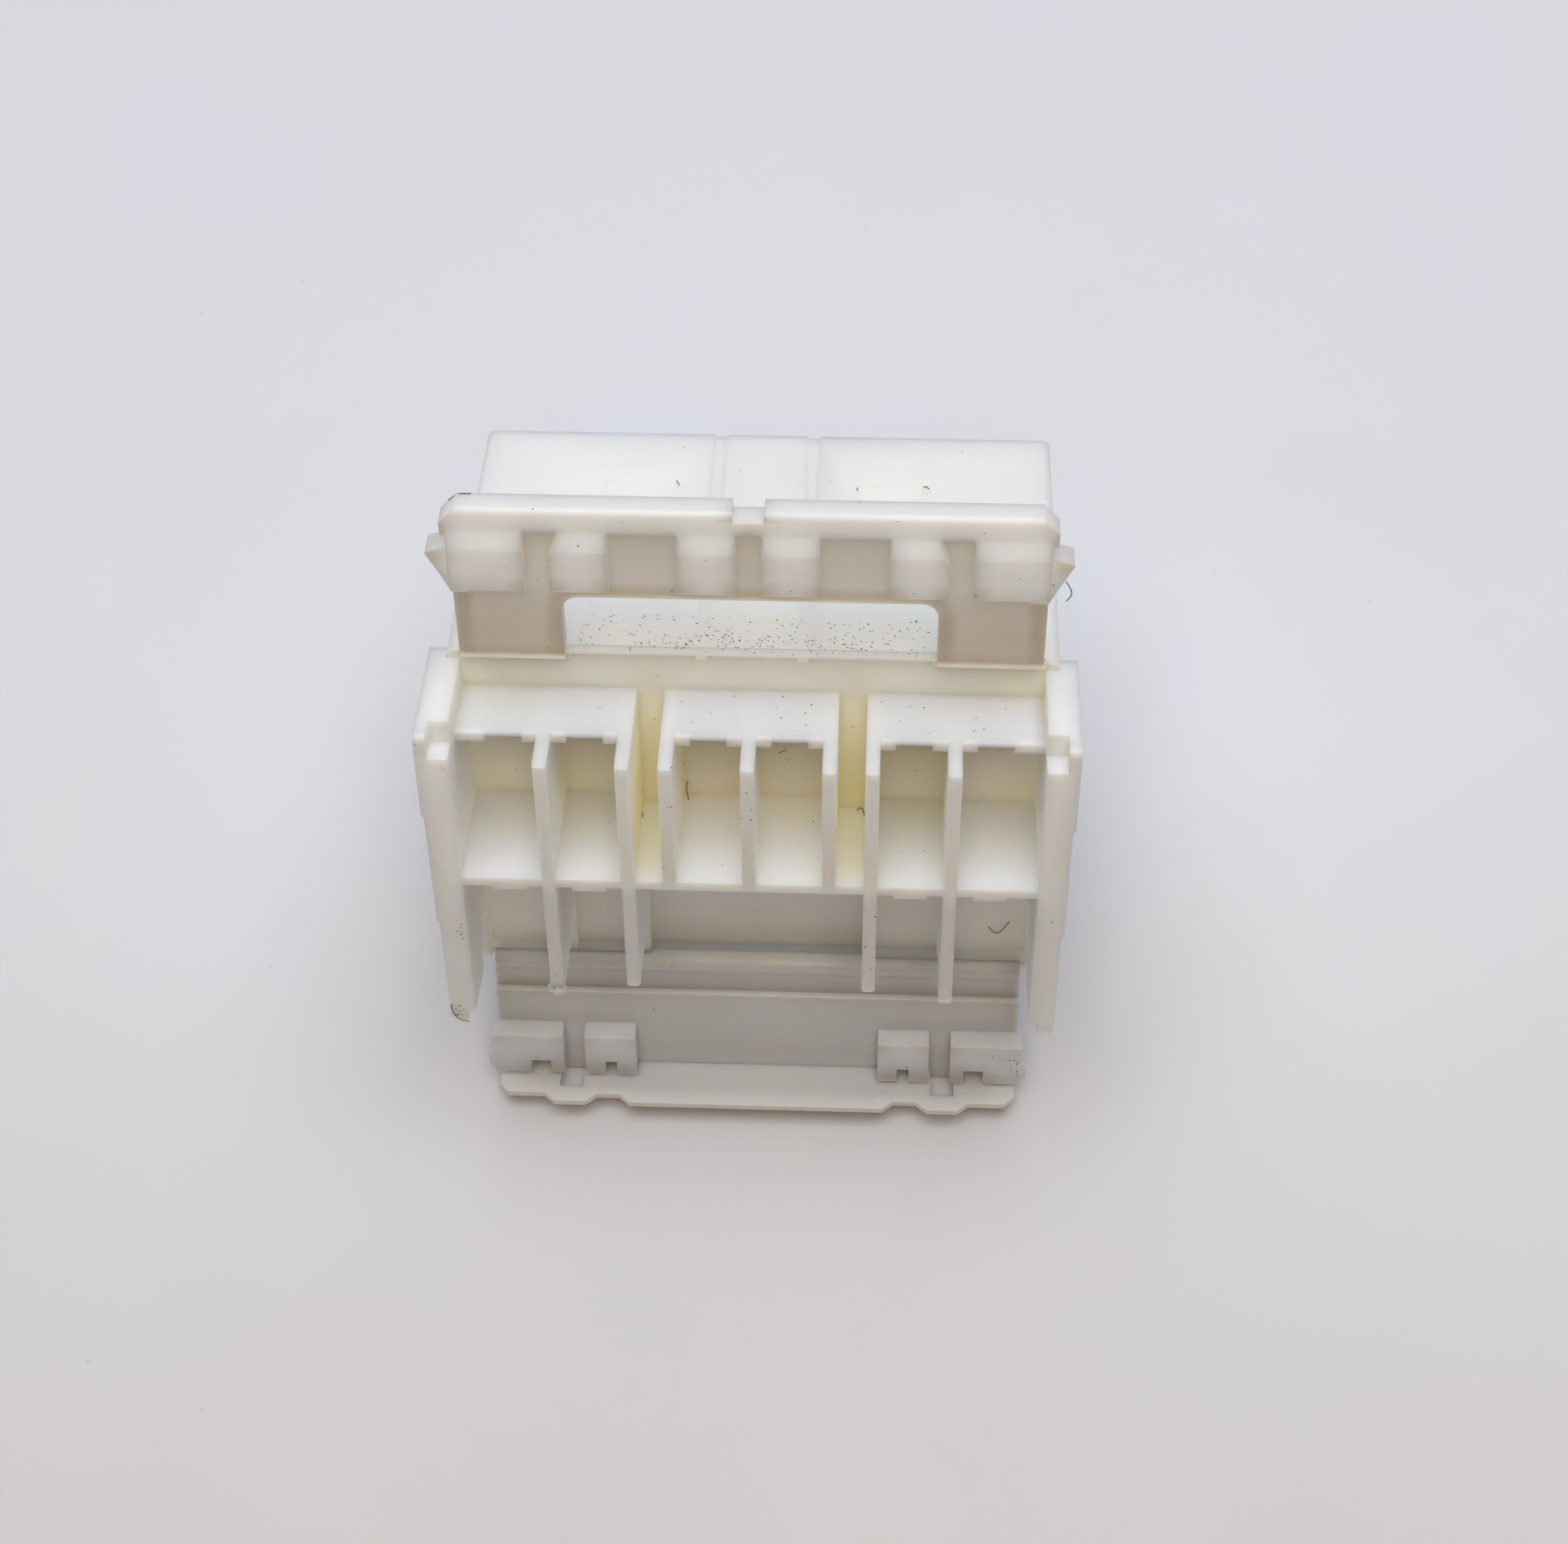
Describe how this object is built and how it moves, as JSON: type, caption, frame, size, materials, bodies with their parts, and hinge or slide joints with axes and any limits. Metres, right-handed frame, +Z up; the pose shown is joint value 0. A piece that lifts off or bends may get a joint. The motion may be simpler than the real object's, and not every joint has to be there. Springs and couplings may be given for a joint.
{
  "type": "wire to board connector housing",
  "caption": "Moulded plug housing for crimped wires on two levels, with an upper and a lower lock plate that fold down between its side arms.",
  "frame": {"origin": "middle of the bounding box at the table, with the part at rest", "axes": "+X across the ways, seen from the wire side to the right; +Y away from the wire side; +Z up from the table. The housing leans back on its rear lower edge, as it rests."},
  "size_m": [0.0322, 0.031, 0.0378],
  "materials": {
    "natural_nylon": "as moulded, milky and slightly translucent",
    "natural_nylon_plate": "as moulded, thin walls, milky and slightly translucent"
  },
  "bodies": {
    "housing": {"housing": "natural_nylon"},
    "upper_lock_plate": {"upper_lock_plate": "natural_nylon_plate"},
    "lower_lock_plate": {"lower_lock_plate": "natural_nylon_plate"}
  },
  "joints": [
    {"name": "upper_plate_hinge", "type": "hinge", "parent": "housing", "child": "upper_lock_plate", "pos_m": [0, -0.00173, 0.0282], "axis": [1, 0, 0], "range_deg": [0, 90]},
    {"name": "lower_plate_hinge", "type": "hinge", "parent": "housing", "child": "lower_lock_plate", "pos_m": [0, -0.00915, 0.00749], "axis": [-1, 0, 0], "range_deg": [0, 90]}
  ]
}
